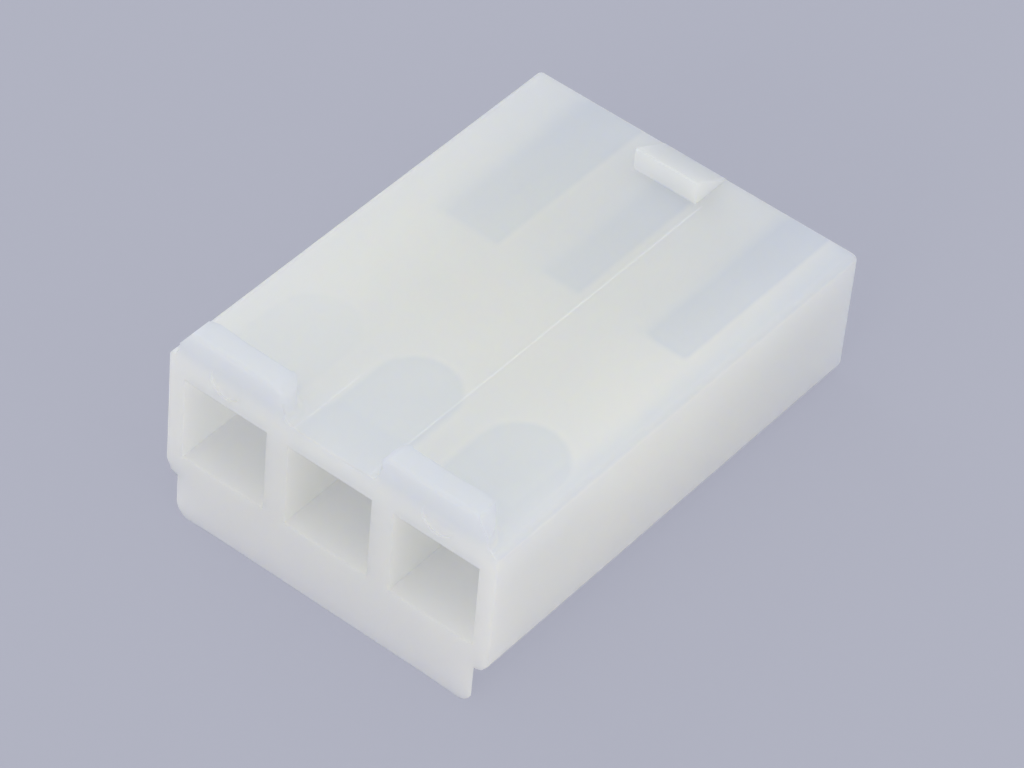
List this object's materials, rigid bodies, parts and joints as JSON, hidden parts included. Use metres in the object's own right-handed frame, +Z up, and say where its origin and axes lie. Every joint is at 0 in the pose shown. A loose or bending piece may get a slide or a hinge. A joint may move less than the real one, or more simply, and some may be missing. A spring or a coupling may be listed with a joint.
{
  "type": "wire to board connector housing",
  "caption": "Empty moulded nylon housing for crimped wire terminals: a row of square sockets, keying pads on top, a friction lip below and a thumb wedge at the wire end.",
  "frame": {"origin": "middle of the mating face, level with the underside of the body", "axes": "+X along the row of sockets, +Y from the mating face to the wire end, +Z up through the keying pads"},
  "size_m": [0.0122, 0.0171, 0.0076],
  "materials": {
    "natural_nylon": "injection moulded natural nylon, milky and slightly translucent, satin"
  },
  "bodies": {
    "root": {"housing": "natural_nylon"}
  },
  "joints": []
}
